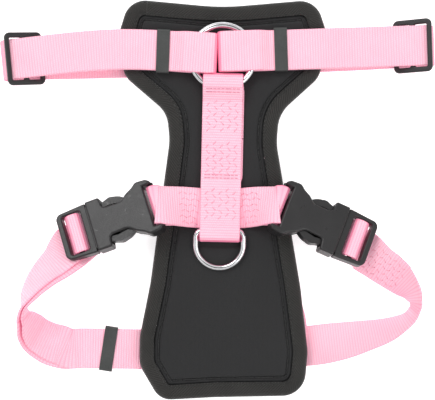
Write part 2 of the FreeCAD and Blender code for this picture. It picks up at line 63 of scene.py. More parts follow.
def new_object(name, points, faces, smooth=True, uvs=None):
    """A mesh object from points in millimetres; uvs are per point."""
    mesh = bpy.data.meshes.new(name)
    mesh.from_pydata([Vector(p) * MM for p in points], [], faces)
    mesh.validate()
    if uvs is not None:
        layer = mesh.uv_layers.new(name="UVMap")
        loops = np.empty(len(mesh.loops), int)
        mesh.loops.foreach_get("vertex_index", loops)
        layer.data.foreach_set("uv", np.array(uvs, np.float32)[loops].ravel())
    if smooth:
        mesh.polygons.foreach_set("use_smooth", [True] * len(mesh.polygons))
    piece = bpy.data.objects.new(name, mesh)
    bpy.context.scene.collection.objects.link(piece)
    return piece


def tube_faces(rows, around, closed=False):
    """Quads between rows, each a ring of points; capped, or closed from last row to first."""
    faces = []
    for i in range(rows if closed else rows - 1):
        here, onward = i * around, ((i + 1) % rows) * around
        for k in range(around):
            after = (k + 1) % around
            faces.append((here + k, here + after, onward + after, onward + k))
    if not closed:
        faces.append(tuple(range(around))[::-1])
        faces.append(tuple((rows - 1) * around + k for k in range(around)))
    return faces


# ---------------------------------------------------------------- paths

def turn_angle(before, corner, after):
    """How far a path turns at a corner, in radians, positive to the left."""
    a, b = corner - before, after - corner
    return math.atan2(a.x * b.y - a.y * b.x, a.dot(b))


def trace(path, step, closed=False):
    """Evenly stepped (point, tangent) along a path of (u, v, radius) corners."""
    corners = [Vector(p[:2]) for p in path]
    count = len(path)
    legs, cursor = [], None
    for i in range(count):
        here = corners[i]
        if not closed and i in (0, count - 1):
            legs.append((here, here, None))
            continue
        before, after = corners[i - 1], corners[(i + 1) % count]
        turn = turn_angle(before, here, after)
        slack = math.tan(abs(turn) / 2)
        room = 0.49 * min((before - here).length, (after - here).length)
        radius = min(path[i][2], room / slack) if slack > 1e-6 else 0
        trim = radius * slack
        start = here + (before - here).normalized() * trim
        end = here + (after - here).normalized() * trim
        legs.append((start, end, (turn, radius) if radius > 0 else None))
    samples = []
    for i in range(count):
        start, end, arc = legs[i]
        if arc:
            turn, radius = arc
            heading = (corners[i] - corners[i - 1]).normalized()
            left = Vector((-heading.y, heading.x)) * math.copysign(1, turn)
            centre = start + left * radius
            pieces = max(2, int(abs(turn) * radius / step))
            for k in range(pieces):
                angle = turn * k / pieces
                spoke, along = (start - centre).copy(), heading.copy()
                spoke.rotate(Matrix.Rotation(angle, 2))
                along.rotate(Matrix.Rotation(angle, 2))
                samples.append((centre + spoke, along))
        if i == count - 1 and not closed:
            samples.append((end, (corners[i] - corners[i - 1]).normalized()))
            break
        following = legs[(i + 1) % count][0]
        run = following - end
        pieces = max(1, int(run.length / step))
        for k in range(pieces):
            samples.append((end + run * (k / pieces), run.normalized()))
    return samples


def quartets(points):
    """Each leg's two ends with their outer neighbours; the first and last are mirrored."""
    padded = [2 * points[0] - points[1]] + points + [2 * points[-1] - points[-2]]
    return [padded[i - 1:i + 3] for i in range(1, len(padded) - 2)]


def smooth_between(a, b, c, d, t):
    """A Catmull-Rom curve's value a share t of the way from b to c."""
    return 0.5 * (2 * b + (c - a) * t + (2 * a - 5 * b + 4 * c - d) * t * t
                  + (3 * b - a - 3 * c + d) * t ** 3)


def spline(points, step):
    """Smooth curve through points of any dimension, evenly stepped along the first two."""
    points = [np.array(p, float) for p in points]
    found = []
    for a, b, c, d in quartets(points):
        pieces = max(2, int(np.linalg.norm((c - b)[:2]) / step))
        found += [smooth_between(a, b, c, d, k / pieces) for k in range(pieces)]
    return found + [points[-1]]


def beside(items, i):
    """The items before and after this one; at an end, the item itself stands in."""
    return items[max(i - 1, 0)], items[min(i + 1, len(items) - 1)]


def lengths_along(places):
    """How far along the line through these places each of them lies."""
    found = [0.0]
    for last, here in zip(places, places[1:]):
        found.append(found[-1] + (here - last).length)
    return found


# ---------------------------------------------------------------- webbing

def webbing_ring():
    """The webbing's cut face: flat top and bottom and rounded selvedges."""
    ring, columns = [], 14
    half, edge = WIDTH / 2, THICK / 2
    for k in range(columns + 1):
        ring.append((half - edge - (WIDTH - 2 * edge) * k / columns, edge))
    for angle in (120, 150, 180, 210, 240):
        a = math.radians(angle)
        ring.append((-half + edge + edge * math.cos(a), edge * math.sin(a)))
    for k in range(columns + 1):
        ring.append((-half + edge + (WIDTH - 2 * edge) * k / columns, -edge))
    for angle in (-60, -30, 0, 30, 60):
        a = math.radians(angle)
        ring.append((half - edge + edge * math.cos(a), edge * math.sin(a)))
    return ring


WEB_RING = webbing_ring()


def webbing(name, frames):
    """Webbing along closely stepped frames, with its crosswise ribs modelled."""
    points, uvs = [], []
    for (centre, across, normal), length in zip(frames, lengths_along([f[0] for f in frames])):
        rib = abs(math.sin(math.pi * length / RIB_PITCH)) ** 0.7 - 0.6
        for a, n in WEB_RING:
            share = min(1.0, (WIDTH / 2 - abs(a)) / SELVEDGE)
            swell = 1 + RIB_DEPTH * rib * share / (THICK / 2)
            points.append(centre + across * a + normal * (n * swell))
            uvs.append((length * MM, (a if n >= 0 else -a) * MM))
    piece = new_object(name, points, tube_faces(len(frames), len(WEB_RING)), uvs=uvs)
    # The fold attribute marks where the webbing's material paints shade into its folds.
    fold_shade_layer = piece.data.attributes.new("fold", "FLOAT", "POINT")
    fold_shade_layer.data.foreach_set("value", np.repeat(bending(frames), len(WEB_RING)).astype(np.float32))
    return piece


def bending(frames):
    """0 where the webbing runs straight, up to 1 in its tight folds."""
    reach, slight, range_of_turn = 3, 0.05, 0.28        # rows, then radians per millimetre
    places = np.array([tuple(f[0]) for f in frames])
    found = np.zeros(len(places))
    if len(places) > 2 * reach + 1:
        before = places[reach:-reach] - places[:-2 * reach]
        after = places[2 * reach:] - places[reach:-reach]
        run = np.linalg.norm(after, axis=1)
        both = np.linalg.norm(before, axis=1) * run
        turn = np.arccos(np.clip((before * after).sum(1) / np.maximum(both, 1e-9), -1, 1))
        curve = turn / np.maximum(run, 1e-6)
        found[reach:-reach] = np.clip((curve - slight) / range_of_turn, 0, 1)
    spread = np.ones(7) / 7
    return np.convolve(np.convolve(found, spread, "same"), spread, "same")


def plan_at(plan, distance):
    """Place and heading on a smooth plan line; beyond its ends it runs straight on."""
    total = 0
    for i in range(1, len(plan)):
        gap = (plan[i] - plan[i - 1]).length
        if distance <= total + gap or i == len(plan) - 1:
            heading = (plan[min(i + 3, len(plan) - 1)] - plan[max(i - 4, 0)]).normalized()
            return plan[i - 1] + (plan[i] - plan[i - 1]) / gap * (distance - total), heading
        total += gap


def hung(plan, profile):
    """Frames of a strap that follows a plan line, its heights from a side profile."""
    line = [Vector(p[:2]) for p in spline(plan, 2.0)]
    frames = []
    for point, tangent in trace(profile, ROW_STEP):
        place, heading = plan_at(line, point.x)
        heading = heading.to_3d()
        across = Vector((-heading.y, heading.x, 0))
        normal = heading * -tangent.y + UP * tangent.x
        frames.append((Vector((place.x, place.y, point.y)), across, normal))
    return frames


def square_up(frames):
    """Make each frame's directions square to the path they follow."""
    squared = []
    for i, (centre, across, normal) in enumerate(frames):
        before, after = (f[0] for f in beside(frames, i))
        tangent = (after - before).normalized()
        side = (across - tangent * across.dot(tangent)).normalized()
        height = tangent.cross(side)
        if height.dot(normal) < 0:
            height = -height
        squared.append((centre, side, height))
    return squared


def layers_between(stations):
    """Closely stepped frames on a smooth curve through (centre, across, normal) stations."""
    rows = [np.array((*c, *a.normalized(), *n.normalized())) for c, a, n in stations]
    found = []
    for a, b, c, d in quartets(rows):
        pieces = max(2, int(np.linalg.norm((c - b)[:3]) / ROW_STEP))
        found += [smooth_between(a, b, c, d, k / pieces) for k in range(pieces)]
    found.append(rows[-1])
    return square_up([(Vector(r[:3]), Vector(r[3:6]), Vector(r[6:9])) for r in found])


def side_profile(path, place):
    """Frames of a strap from a (length, height) profile standing on a placement's X axis."""
    turn = place.to_3x3()
    across = turn @ Vector((0, 1, 0))
    frames = []
    for point, tangent in trace(path, ROW_STEP):
        normal = turn @ Vector((-tangent.y, 0, tangent.x))
        frames.append((place @ Vector((point.x, 0, point.y)), across, normal))
    return frames


# ---------------------------------------------------------------- stitches

SKIM = 0.02                             # stitches lie this far above the cloth
HOLE_SIZE = (0.62, 0.5, 0.04)           # a needle hole's length, width and height


def thread(points, faces, place, along, up, length, width=0.5, bow=0.16):
    """Add one stitch: a short thread whose two ends sink into the cloth."""
    base = len(points)
    along = (along - up * along.dot(up)).normalized()
    side = up.cross(along)
    for share, rise in ((-0.5, -0.5), (-0.36, 0.2), (0.0, 1.0), (0.36, 0.2), (0.5, -0.5)):
        centre = place + along * (length * share) + up * (bow * rise)
        for k in range(6):
            a = math.pi * k / 3
            points.append(centre + (side * math.cos(a) + up * math.sin(a)) * (width / 2))
    for f in tube_faces(5, 6):
        faces.append(tuple(base + i for i in f))


def evenly(frames, first, gap):
    """Each frame that a stitch falls on, with the row's heading there."""
    places, due = [f[0] for f in frames], first
    for i, length in enumerate(lengths_along(places)):
        run = places[i] - places[i - 1]
        if i and length >= due and run.length > 0:
            due += gap
            yield run.normalized(), frames[i]


def stitch_row(points, faces, frames, gap, length):
    """Stitches one behind another along frames, on the side that the normals point to."""
    for heading, (centre, across, normal) in evenly(frames, gap / 2, gap):
        thread(points, faces, centre, heading, normal, length)


def sew(name, frames, asides, gap, length, slant, face=1, body="root"):
    """Rows of slanted stitches along frames, each ending in a needle hole; two pieces."""
    threads, holes = ([], []), ([], [])
    for k, aside in enumerate(asides):
        first = gap * (0.3 if k % 2 else 0.8)
        for count, (heading, (centre, across, normal)) in enumerate(evenly(frames, first, gap)):
            up, lean = normal * face, -slant if count % 2 else slant
            wander = random.uniform(-0.15, 0.15)
            place = centre + across * (aside + wander) + up * (THICK / 2 + SKIM)
            along = (heading + across * lean).normalized()
            thread(*threads, place, along, up, length)
            # Painted shade: a flat deeper pink stub at each stitch's end stands for the shade in
            # its needle hole.
            thread(*holes, place + along * (length / 2 + 0.2), along, up, *HOLE_SIZE)
    return [dress(new_object(name + "_stitches", *threads), PINK_THREAD, body),
            dress(new_object(name + "_holes", *holes), DEEP_THREAD_AND_HOLE_SHADE, body)]


def between(frames, keep):
    """The longest unbroken run of frames whose centres pass a test."""
    best, run = [], []
    for f in frames:
        if keep(f[0]):
            run.append(f)
        else:
            best, run = max(best, run, key=len), []
    return max(best, run, key=len)


# ---------------------------------------------------------------- materials

def srgb(red, green, blue):
    """A linear colour from its 0 to 255 values."""
    linear = [c / 255 / 12.92 if c <= 10 else ((c / 255 + 0.055) / 1.055) ** 2.4
              for c in (red, green, blue)]
    return (*linear, 1.0)


class Finish:
    """A node material under construction."""

    def __init__(self, name, roughness, **constants):
        self.material = bpy.data.materials.new(name)
        self.material.use_nodes = True
        self.tree = self.material.node_tree
        self.shader = self.tree.nodes["Principled BSDF"]
        self.shader.inputs["Roughness"].default_value = roughness
        for socket, value in constants.items():
            self.shader.inputs[socket.replace("_", " ")].default_value = value

    def node(self, kind, inputs, output=0, **settings):
        node = self.tree.nodes.new(kind)
        for key, value in settings.items():
            setattr(node, key, value)
        for socket, value in inputs.items():
            self.feed(node.inputs[socket], value)
        return node.outputs[output]

    def feed(self, socket, value):
        if isinstance(value, bpy.types.NodeSocket):
            self.tree.links.new(value, socket)
        else:
            socket.default_value = value

    def math(self, operation, a, b=0.0, clamp=False):
        return self.node("ShaderNodeMath", {0: a, 1: b}, operation=operation, use_clamp=clamp)

    def mix(self, factor, a, b):
        return self.node("ShaderNodeMix", {0: factor, 6: a, 7: b}, 2, data_type="RGBA")

    def range(self, value, low, high, to_low=0.0, to_high=1.0):
        return self.node("ShaderNodeMapRange", {0: value, 1: low, 2: high, 3: to_low, 4: to_high})

    def split(self, vector):
        """A vector's three parts."""
        parts = self.tree.nodes.new("ShaderNodeSeparateXYZ")
        self.tree.links.new(vector, parts.inputs[0])
        return parts.outputs

    def uv(self):
        return self.split(self.tree.nodes.new("ShaderNodeTexCoord").outputs["UV"])[:2]

    def place(self):
        return self.tree.nodes.new("ShaderNodeTexCoord").outputs["Object"]

    def noise(self, scale, detail, low, high):
        """Noise stretched so that low becomes 0 and high becomes 1."""
        inputs = {"Vector": self.place(), "Scale": scale, "Detail": detail}
        return self.range(self.node("ShaderNodeTexNoise", inputs), low, high)

    def plus(self, shade, value, share):
        return self.math("ADD", shade, self.math("MULTIPLY", value, share), clamp=True)

    def wave(self, value, pitch):
        """|sin| that reaches zero once every pitch."""
        turned = self.math("MULTIPLY", value, math.pi / pitch)
        return self.math("ABSOLUTE", self.math("SINE", turned))

    def bump(self, height, depth):
        self.set("Normal", self.node("ShaderNodeBump",
                                     {"Height": height, "Distance": depth, "Strength": 1.0}))

    def set(self, socket, value):
        self.feed(self.shader.inputs[socket], value)


def webbing_finish(name, light, deep, scuff):
    """Nylon webbing: crosswise ribs of yarn knuckles, with painted shade in their hollows, along
    the selvedges and in folds, and a painted pink glow.
    """
    # Painted light: the pink emission makes the webbing glow, lifting its shaded crevices and inner
    # walls.
    f = Finish(name, 0.62, Sheen_Weight=0.35, Sheen_Roughness=0.45, Sheen_Tint=(1, 0.86, 0.91, 1),
               Specular_IOR_Level=0.3, Emission_Color=(0.85, 0.24, 0.42, 1), Emission_Strength=0.13)
    u, v = f.uv()
    pitch, yarn = RIB_PITCH * MM, 1.15 * MM
    rib = f.wave(u, pitch)
    row = f.math("FLOOR", f.math("DIVIDE", u, pitch))
    knuckle = f.wave(f.math("ADD", v, f.math("MULTIPLY", row, yarn / 2)), yarn)
    # Painted shade: the hollows between the ribs and between the yarn knuckles are coloured deeper
    # pink.
    rib_valley_shade = f.math("SUBTRACT", 1.0, f.math("POWER", rib, 0.55), clamp=True)
    knuckle_pit_shade = f.math("SUBTRACT", 1.0, f.math("POWER", knuckle, 0.6), clamp=True)
    depth = f.math("MAXIMUM", f.math("MULTIPLY", rib_valley_shade, 0.55), f.math("MULTIPLY", knuckle_pit_shade, 0.30))
    cloud = f.noise(55.0, 3.0, 0.35, 0.7)
    fibre = f.noise(1900.0, 2.0, 0.3, 0.75)
    # Painted shade: the webbing is coloured deeper pink along its rounded selvedges.
    edge = f.range(f.math("ABSOLUTE", v), 11.7 * MM, 12.6 * MM)
    shade = f.plus(f.plus(f.plus(depth, fibre, 0.10), edge, 0.25), cloud, 0.07)
    # Painted shade: deeper pink in tight folds and on steep sides, none on faces that look straight
    # up.
    fold = f.node("ShaderNodeAttribute", {}, 2, attribute_name="fold")
    facing = f.split(f.node("ShaderNodeNewGeometry", {}, 1))[2]
    steep = f.math("SUBTRACT", 1.0, f.range(facing, 0.55, 0.95))
    colour = f.mix(f.plus(shade, f.math("MULTIPLY", fold, steep), 0.85), light, deep)
    f.set("Base Color", f.mix(f.math("MULTIPLY", fibre, 0.10), colour, scuff))
    raised = f.math("ADD", f.math("MULTIPLY", knuckle, 0.8), 0.4)
    height = f.math("ADD", f.math("MULTIPLY", rib, raised), f.math("MULTIPLY", fibre, 0.25))
    f.bump(height, 0.13 * MM)
    f.set("Roughness", f.range(fibre, 0.0, 1.0, 0.55, 0.75))
    return f.material


def thread_finish(name, light, deep):
    """Twisted sewing thread."""
    f = Finish(name, 0.55, Sheen_Weight=0.3, Specular_IOR_Level=0.3)
    ply = f.node("ShaderNodeTexWave", {"Vector": f.place(), "Scale": 900.0, "Distortion": 1.5})
    f.set("Base Color", f.mix(ply, light, deep))
    f.bump(ply, 0.05 * MM)
    return f.material


def knit_finish(name, light, deep, scale=1.0):
    """Smooth laminated jersey: rows of tiny knitted loops, painted lighter on their tops and darker
    between them, with a faint handled cloudiness.
    """
    f = Finish(name, 0.78, Sheen_Weight=0.22, Sheen_Roughness=0.5, Specular_IOR_Level=0.25)
    x, y = f.split(f.place())[:2]
    course, wale = 0.62 * MM * scale, 0.8 * MM * scale
    loop = f.wave(x, wale)
    slant = f.math("ADD", y, f.math("MULTIPLY", loop, course * 0.6))
    row = f.wave(slant, course)
    height = f.math("MULTIPLY", f.math("POWER", loop, 0.6), f.math("POWER", row, 0.6))
    cloud = f.noise(28.0, 4.0, 0.3, 0.75)
    fuzz = f.noise(2600.0, 2.0, 0.3, 0.75)
    # Painted shade: the knit is coloured lighter on the tops of its loops and darker between them.
    shade = f.plus(f.plus(f.math("MULTIPLY", height, 0.45), cloud, 0.3), fuzz, 0.25)
    f.set("Base Color", f.mix(shade, deep, light))
    f.set("Roughness", f.range(cloud, 0.0, 1.0, 0.72, 0.86))
    f.bump(f.math("ADD", height, f.math("MULTIPLY", fuzz, 0.5)), 0.10 * MM * scale)
    return f.material


def twill_finish(name, light, deep):
    """Binding tape woven in a diagonal twill, painted lighter on its rib crests and darker between
    them, and paler along its folded edge.
    """
    f = Finish(name, 0.7, Sheen_Weight=0.25, Sheen_Roughness=0.45, Specular_IOR_Level=0.28)
    u, v = f.uv()
    diagonal = f.math("ADD", u, f.math("MULTIPLY", v, 1.1))
    rib = f.wave(diagonal, 1.9 * MM)
    yarn = f.wave(v, 0.42 * MM)
    fuzz = f.noise(2400.0, 2.0, 0.3, 0.75)
    cloud = f.noise(60.0, 3.0, 0.35, 0.7)
    height = f.math("ADD", f.math("POWER", rib, 0.7), f.math("MULTIPLY", yarn, 0.2))
    # Painted shade: the twill's ribs are coloured lighter on their crests and darker between them.
    shade = f.math("MULTIPLY", f.math("POWER", rib, 0.8), 0.65)
    # The tape is coloured paler near its folded edge.
    from_fold = f.math("ABSOLUTE", f.math("SUBTRACT", v, 1.2 * MM))
    paler_near_fold = f.math("SUBTRACT", 1.0, f.range(from_fold, 0.0, 1.4 * MM), clamp=True)
    shade = f.plus(f.plus(f.plus(shade, fuzz, 0.2), cloud, 0.15), paler_near_fold, 0.22)
    f.set("Base Color", f.mix(shade, deep, light))
    f.set("Roughness", f.range(fuzz, 0.0, 1.0, 0.62, 0.8))
    f.bump(height, 0.32 * MM)
    return f.material


def plastic_finish(name, light, deep):
    """Moulded acetal: a fine spark-eroded grain, faint flow clouds, rubbed spots."""
    gloss = 0.38
    f = Finish(name, gloss, Specular_IOR_Level=0.5)
    grain = f.noise(1500.0, 3.0, 0.3, 0.7)
    cloud = f.noise(70.0, 3.0, 0.3, 0.75)
    rub = f.noise(260.0, 4.0, 0.62, 0.72)
    shade = f.plus(f.math("MULTIPLY", cloud, 0.6), grain, 0.4)
    f.set("Base Color", f.mix(shade, deep, light))
    rough = f.range(grain, 0.0, 1.0, gloss - 0.05, gloss + 0.1)
    f.set("Roughness", f.math("SUBTRACT", rough, f.math("MULTIPLY", rub, 0.12)))
    f.bump(grain, 0.035 * MM)
    return f.material


def chrome_finish(name):
    """Nickel-plated steel wire: polished, with a haze of fine rubbing."""
    f = Finish(name, 0.12, Metallic=1.0)
    haze = f.noise(180.0, 5.0, 0.4, 0.75)
    scratch = f.noise(2200.0, 2.0, 0.35, 0.7)
    f.set("Base Color", f.mix(haze, srgb(238, 238, 240), srgb(214, 214, 218)))
    f.set("Roughness", f.range(haze, 0.0, 1.0, 0.07, 0.2))
    f.bump(scratch, 0.006 * MM)
    return f.material


PINK = webbing_finish("webbing_pink", srgb(253, 207, 220), srgb(240, 112, 152), srgb(255, 235, 240))
PINK_THREAD = thread_finish("thread_pink", srgb(252, 196, 212), srgb(236, 138, 170))
# Deeper pink thread for the spine's cross stitch rows, and painted shade at the needle holes.
DEEP_THREAD_AND_HOLE_SHADE = thread_finish("deep_pink_thread_and_hole_shade", srgb(226, 148, 174), srgb(206, 122, 150))
KNIT = knit_finish("pad_knit_black", srgb(47, 47, 48), srgb(28, 28, 29))
LINING = knit_finish("lining_knit_black", srgb(50, 50, 52), srgb(26, 26, 28), 1.7)
TWILL = twill_finish("binding_twill_black", srgb(56, 55, 53), srgb(14, 13, 12))
BLACK_THREAD = thread_finish("thread_black", srgb(34, 33, 33), srgb(14, 14, 14))
PLASTIC = plastic_finish("buckle_plastic_black", srgb(38, 37, 38), srgb(25, 24, 25))
KEEPER = plastic_finish("keeper_plastic_black", srgb(72, 74, 73), srgb(52, 54, 53))
CHROME = chrome_finish("ring_nickel")


def finish_cad(node, material):
    """Give a carried-over CAD node a better material."""
    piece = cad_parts[node]
    if not piece.material_slots:
        piece.data.materials.append(material)
    for place in piece.material_slots:
        place.material = material


def dress(piece, material, body="root", nodes=()):
    """Give a piece its material in a new slot and its body, and hide the CAD nodes it stands for.
    """
    piece.data.materials.append(material)
    if nodes:
        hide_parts(*nodes)
    if body:
        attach(piece, body)
    return piece


# ---------------------------------------------------------------- back plate

# Corners of the plate's edge, counter-clockwise from the upper left: x, y and the corner's round.
PLATE = [
    (-55.0, 125.8, 14), (-61.8, 104.0, 22), (-58.4, 77.5, 14), (-31.6, 54.5, 18),
    (-30.0, 37.0, 40), (-42.0, -52.0, 60), (-48.6, -85.0, 30), (-49.0, -103.0, 18),
    (-36.0, -125.2, 12), (-2.4, -123.4, 0), (54.0, -122.3, 19), (56.5, -95.0, 30),
    (52.0, -55.0, 60), (37.0, 35.0, 40), (38.5, 54.0, 22), (64.0, 77.0, 16), (68.5, 104.0, 22),
    (61.5, 125.4, 14), (3.0, 120.4, 150),
]
BINDING = 9.2                           # width of the folded tape seen from above
PAD_LOW, PAD_HIGH = 4.4, 9.35           # the pad between its lining and its highest flat part
TAPE_SEAM, SECOND_SEAM = 8.0, 12.0      # from the plate's edge
TAPE_LOW, TAPE_HIGH = 3.4, 9.8
TAPE_MIDDLE = (TAPE_LOW + TAPE_HIGH) / 2
PANEL_INSET = 8.3                       # the panels end inside the tape
SWELL_MOST = 5.0                        # the furthest that filling may lift the pad
SPINE_X, SPINE_Y, SPINE_LEAN = 1.4, -19.4, 1.28     # the spine strap's lower end and its lean
CROSS_Y = -5.0                          # the cross strap's middle line
CHUNK = 3000                            # points measured at a time

edge_samples = [(p, Vector((-t.y, t.x))) for p, t in trace(PLATE, 0.7, closed=True)]
EDGE = np.array([tuple(p) for p, n in edge_samples])
EDGE_IN = np.array([tuple(n) for p, n in edge_samples])


def edge_distance(xy):
    """How far inside the plate's edge each point lies; negative outside."""
    found = np.empty(len(xy))
    for start in range(0, len(xy), CHUNK):
        part = xy[start:start + CHUNK]
        gap = part[:, None, :] - EDGE[None, :, :]
        nearest = (gap ** 2).sum(2).argmin(1)
        away = gap[np.arange(len(part)), nearest]
        sign = np.sign((away * EDGE_IN[nearest]).sum(1))
        found[start:start + CHUNK] = np.hypot(*away.T) * sign
    return found


def slab(name, inset, step, low, high):
    """A closed panel with the plate's outline, inset; low and high give its two surfaces."""
    xs, ys = np.arange(-70, 72, step), np.arange(-127, 128, step)
    grid = np.stack(np.meshgrid(xs, ys), -1).reshape(-1, 2)
    depth = edge_distance(grid)
    inside = (depth > inset).reshape(len(ys), len(xs))
    index, used, faces = {}, [], []

    def number(r, c):
        if (r, c) not in index:
            index[r, c] = len(used)
            used.append(r * len(xs) + c)
        return index[r, c]

    for r in range(len(ys) - 1):
        for c in range(len(xs) - 1):
            if inside[r:r + 2, c:c + 2].all():
                corners = (r, c), (r, c + 1), (r + 1, c + 1), (r + 1, c)
                faces.append(tuple(number(*corner) for corner in corners))
    xy, depth, count = grid[used], depth[used], len(used)
    top = np.column_stack([xy, high(xy, depth)])
    bottom = np.column_stack([xy, low(xy, depth)])
    sides = dict.fromkeys(side for f in faces for side in zip(f, f[1:] + f[:1]))
    walls = [(a, a + count, b + count, b) for a, b in sides if (b, a) not in sides]
    under = [tuple(i + count for i in f[::-1]) for f in faces]
    return new_object(name, np.vstack([top, bottom]).tolist(), faces + under + walls)


def swell_of(piece):
    """How far the piece's top rises at a point when it is filled: a cloth simulation."""
    voxel, pressure, last_frame, spread = 4.0, 4.0, 20, 5.0
    graph = bpy.context.evaluated_depsgraph_get
    trial = bpy.data.objects.new("trial_pad", piece.data.copy())
    bpy.context.scene.collection.objects.link(trial)
    remesh = trial.modifiers.new("voxels", "REMESH")
    remesh.mode, remesh.voxel_size = "VOXEL", voxel * MM
    mesh = bpy.data.meshes.new_from_object(trial.evaluated_get(graph()))
    trial.modifiers.clear()
    trial.data = mesh
    start = np.array([v.co for v in mesh.vertices])
    cloth = trial.modifiers.new("cloth", "CLOTH")
    cloth.settings.use_pressure = True
    cloth.settings.uniform_pressure_force = pressure
    cloth.settings.effector_weights.gravity = 0
    cloth.collision_settings.use_collision = False
    cloth.point_cache.frame_start, cloth.point_cache.frame_end = 1, last_frame
    scene = bpy.context.scene
    for f in range(1, last_frame + 1):
        scene.frame_set(f)
    moved = np.array([v.co for v in trial.evaluated_get(graph()).to_mesh().vertices])
    scene.frame_set(1)
    move = moved - start
    length = np.linalg.norm(move, axis=1)
    move *= np.minimum(1, SWELL_MOST * MM / np.maximum(length, 1e-9))[:, None]
    upper = start[:, 2] > start[:, 2].mean()
    xy, rise = start[upper][:, :2] / MM, move[upper][:, 2] / MM
    bpy.data.objects.remove(trial)

    def rise_at(points):
        found = np.empty(len(points))
        for first in range(0, len(points), CHUNK):
            part = points[first:first + CHUNK]
            gap = ((part[:, None, :] - xy[None, :, :]) ** 2).sum(2)
            weight = np.exp(-gap / (2 * spread ** 2))
            found[first:first + CHUNK] = (weight * rise).sum(1) / np.maximum(weight.sum(1), 1e-9)
        return found

    return rise_at


def ripple(xy, scale, seed):
    """Gentle low-frequency unevenness between -1 and 1."""
    draw = random.Random(seed)
    total = np.zeros(len(xy))
    for k in range(9):
        angle, phase = draw.uniform(0, math.tau), draw.uniform(0, math.tau)
        pitch = scale * draw.uniform(0.7, 1.6)
        along = xy[:, 0] * math.cos(angle) + xy[:, 1] * math.sin(angle)
        total += np.sin(along * math.tau / pitch + phase)
    return total / 5


def groove(depth, at, width):
    """1 along a line at one depth, fading to 0 on both sides of it."""
    return np.exp(-((depth - at) / width) ** 2)


def smooth(value, low, high):
    """0 below low, 1 above high and an eased step between them."""
    t = np.clip((value - low) / (high - low), 0, 1)
    return t * t * (3 - 2 * t)


def pressed(xy):
    """1 where webbing lies on the pad and holds it down, fading to 0 beside it."""
    x, y = xy.T
    ring_x, ring_y, ring_radius, neck_y = 3.1, 88.8, 17.7, 92.5
    lean = math.tan(math.radians(SPINE_LEAN))
    spine = np.abs(x - SPINE_X - (y - SPINE_Y) * lean) - WIDTH / 2
    spine = np.where(y > -30, spine, 99)
    cross = np.abs(y - CROSS_Y) - WIDTH / 2
    ring = np.abs(np.hypot(x - ring_x, y - ring_y) - ring_radius) - 3
    neck = np.abs(y - neck_y) - WIDTH / 2
    return 1 - smooth(np.minimum.reduce([spine, cross, ring, neck]), -1.0, 9.0)


swell = None
start_pad = slab("start_pad", 8.0, 3.0, lambda xy, d: np.full(len(xy), PAD_LOW + 0.4),
                 lambda xy, d: np.full(len(xy), PAD_HIGH - 0.6))
swell = swell_of(start_pad)
bpy.data.objects.remove(start_pad)


def pad_top(xy, depth):
    """The pad's face: full between its straps and drawn in along the tape and the second seam."""
    held = pressed(xy)
    rise = (swell(xy) if swell else 3.0 * smooth(depth, 9.0, 30.0)) / SWELL_MOST
    crown = 0.9 * rise * smooth(depth, SECOND_SEAM, 24) * (1 - held)
    height = PAD_HIGH + crown + 0.10 * ripple(xy, 34, 3) * smooth(depth, 12, 20)
    height += 0.05 * ripple(xy, 9, 5)
    height -= 2.2 * groove(depth, BINDING + 0.2, 1.0)
    height -= 2.6 * groove(depth, SECOND_SEAM, 0.95)
    height += 0.5 * groove(depth, 10.7, 0.7)                    # the roll between the two seams
    height -= 0.25 * (1 - smooth(depth, 13.0, 17.0)) * smooth(depth, 12.0, 13.0)
    height += 0.04 * ripple(xy, 5, 8) * (1 - smooth(depth, 14, 18))     # puckers at the seam
    return np.minimum(height, np.where(held > 0.35, 9.55, 99))


def pad_bottom(xy, depth):
    return np.full(len(xy), PAD_LOW) + 0.5 * (1 - smooth(depth, 8.5, 10.5))


def lining_low(xy, depth):
    low = 3.62 + 0.04 * (1 + ripple(xy, 16, 11))
    return low + 0.45 * groove(depth, BINDING + 0.4, 0.9) + 0.35 * groove(depth, SECOND_SEAM, 0.7)


def lining_high(xy, depth):
    return np.full(len(xy), 4.36)


pad = slab("pad_cushion", PANEL_INSET, 0.8, pad_bottom, pad_top)
dress(pad, KNIT, "root", ["pad_front_cover", "pad_foam_core"])
lining = slab("pad_lining", PANEL_INSET, 1.0, lining_low, lining_high)
dress(lining, LINING, "root", ["pad_back_lining"])


# Cross-section of the folded tape, from its upper inner edge round the plate's edge and back:
# distance in from the plate's edge, height.
TAPE_RING = [
    (BINDING, 9.22), (BINDING + 0.02, 9.5), (BINDING - 0.25, 9.66), (8.3, 9.52), (7.9, 9.36),
    (7.5, 9.54), (6.0, 9.76), (4.2, 9.86), (2.6, 9.74), (1.3, 9.32), (0.5, 8.6), (0.1, 7.7),
    (0.0, 6.6), (0.1, 5.5), (0.5, 4.6), (1.3, 3.9), (2.6, 3.5), (4.2, 3.38), (6.0, 3.46),
    (7.5, 3.66), (7.9, 3.82), (8.3, 3.68), (BINDING - 0.25, 3.56), (BINDING + 0.02, 3.7),
    (BINDING, 3.98), (6.0, 4.25), (2.0, 4.7), (1.1, 5.6), (1.0, 6.6), (1.1, 7.6), (2.0, 8.5),
    (6.0, 8.95),
]
OVERLAP = Vector((-47.2, -98.0))        # where the tape's two ends lap


